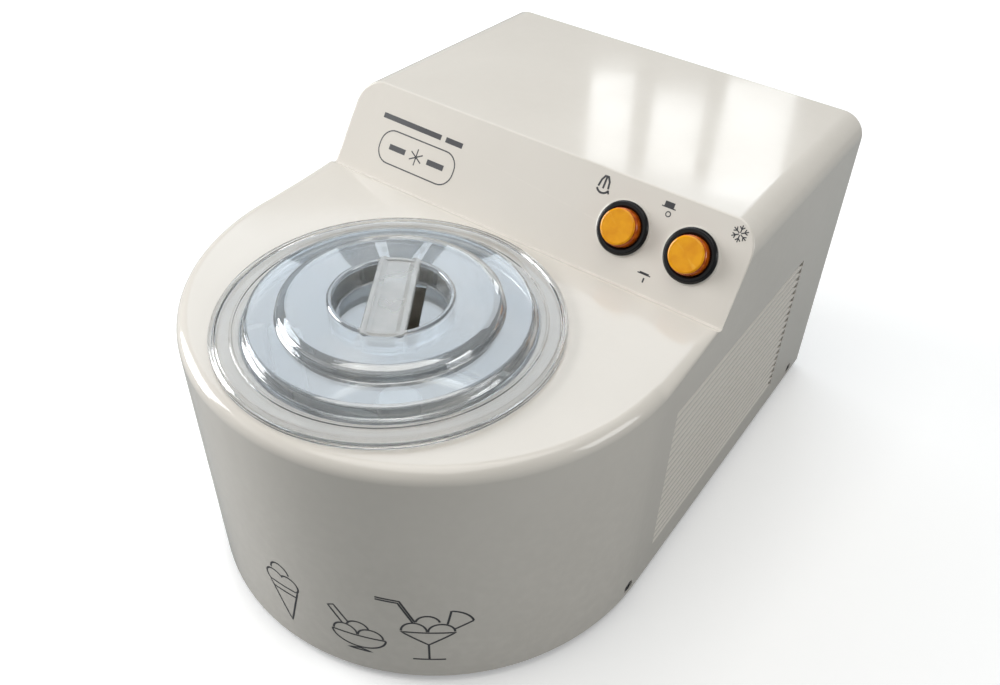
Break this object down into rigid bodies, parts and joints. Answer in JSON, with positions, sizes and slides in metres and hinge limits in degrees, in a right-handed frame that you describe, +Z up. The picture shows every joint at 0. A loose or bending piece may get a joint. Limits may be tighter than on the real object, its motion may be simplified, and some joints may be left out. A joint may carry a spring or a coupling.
{
  "type": "ice cream maker",
  "caption": "Countertop ice cream maker: deck with a lidded freezing bowl and driven paddle, sloped panel with push buttons, compressor cooling behind side louvres.",
  "frame": {"origin": "on the table, under the middle of the machine's length and width", "axes": "+Z up; the round front with the bowl faces -Y; +X points to the right of someone who faces the front, which is the side with the push buttons"},
  "size_m": [0.27, 0.38, 0.205],
  "materials": {
    "housing_plastic": "glossy warm white moulding",
    "clear_plastic": "clear moulded plastic, glossy",
    "polished_steel": "bright polished stainless steel",
    "sheet_steel": "plain zinc-coated sheet",
    "shaft_steel": "ground steel",
    "black_steel": "black enamel",
    "bronze": "sintered bronze",
    "brass": "plain brass",
    "copper": "soft copper tube",
    "aluminium": "mill finish",
    "foam": "cream rigid foam",
    "white_nylon": "satin white nylon",
    "grey_plastic": "grey moulded plastic",
    "black_plastic": "glossy black moulding",
    "amber_plastic": "clear amber cap, glossy",
    "rubber": "black rubber"
  },
  "bodies": {
    "housing": {"body_shell": "housing_plastic", "base_plate": "sheet_steel", "foot_front_left": "rubber", "foot_front_right": "rubber", "foot_rear_left": "rubber", "foot_rear_right": "rubber", "side_screw_front_left": "black_steel", "side_screw_front_right": "black_steel", "side_screw_rear_left": "black_steel", "side_screw_rear_right": "black_steel", "bowl": "polished_steel", "bowl_seal": "rubber", "evaporator_coil": "copper", "insulation_jacket": "foam", "shaft_bush": "bronze", "shaft_seal": "rubber", "idler_pin": "shaft_steel", "gearbox_tray": "grey_plastic", "gearbox_cover": "grey_plastic", "motor_housing": "aluminium", "compressor": "black_steel", "compressor_mount_1": "rubber", "compressor_mount_2": "rubber", "compressor_mount_3": "rubber", "start_relay": "black_plastic", "condenser": "aluminium", "fan_motor": "black_steel", "fan_shroud": "sheet_steel", "fan_bracket": "sheet_steel", "discharge_line": "copper", "suction_line": "copper", "liquid_line": "copper", "filter_drier": "copper", "capillary_tube": "copper", "mixer_switch": "black_plastic", "cooling_switch": "black_plastic", "mixer_switch_nut": "black_plastic", "cooling_switch_nut": "black_plastic", "power_inlet": "black_plastic", "inlet_pin_live": "brass", "inlet_pin_neutral": "brass", "inlet_pin_earth": "brass"},
    "lid": {"lid": "clear_plastic", "lid_handle": "clear_plastic"},
    "paddle_drive": {"mixing_paddle": "white_nylon", "drive_shaft": "shaft_steel", "output_gear": "white_nylon"},
    "idler": {"idler_gear": "white_nylon"},
    "motor_rotor": {"motor_rotor": "shaft_steel", "motor_pinion": "bronze"},
    "fan": {"fan": "grey_plastic"},
    "mixer_button": {"mixer_button": "amber_plastic"},
    "cooling_button": {"cooling_button": "amber_plastic"}
  },
  "joints": [
    {"name": "lid_lift", "type": "slide", "parent": "housing", "child": "lid", "axis": [0, 0, 1], "range_m": [0, 0.15]},
    {"name": "mixer_button_press", "type": "slide", "parent": "housing", "child": "mixer_button", "axis": [0, 0.831, -0.5563], "range_m": [0, 0.004], "stiffness_N_per_m": 400, "springref_m": -0.001},
    {"name": "cooling_button_press", "type": "slide", "parent": "housing", "child": "cooling_button", "axis": [0, 0.831, -0.5563], "range_m": [0, 0.004], "stiffness_N_per_m": 400, "springref_m": -0.001},
    {"name": "paddle_spin", "type": "hinge", "parent": "housing", "child": "paddle_drive", "pos_m": [0, -0.096, 0.08], "axis": [0, 0, 1], "continuous": true},
    {"name": "idler_spin", "type": "hinge", "parent": "housing", "child": "idler", "pos_m": [0, -0.03102, 0.021], "axis": [0, 0, 1], "continuous": true},
    {"name": "motor_spin", "type": "hinge", "parent": "housing", "child": "motor_rotor", "pos_m": [0, 0.02381, 0.06], "axis": [0, 0, 1], "continuous": true},
    {"name": "fan_spin", "type": "hinge", "parent": "housing", "child": "fan", "pos_m": [0.0885, 0.1, 0.0666], "axis": [1, 0, 0], "continuous": true}
  ],
  "couplings": [
    {"joint": "idler_spin", "follows": "paddle_spin", "ratio": -3},
    {"joint": "motor_spin", "follows": "paddle_spin", "ratio": 7.125}
  ]
}
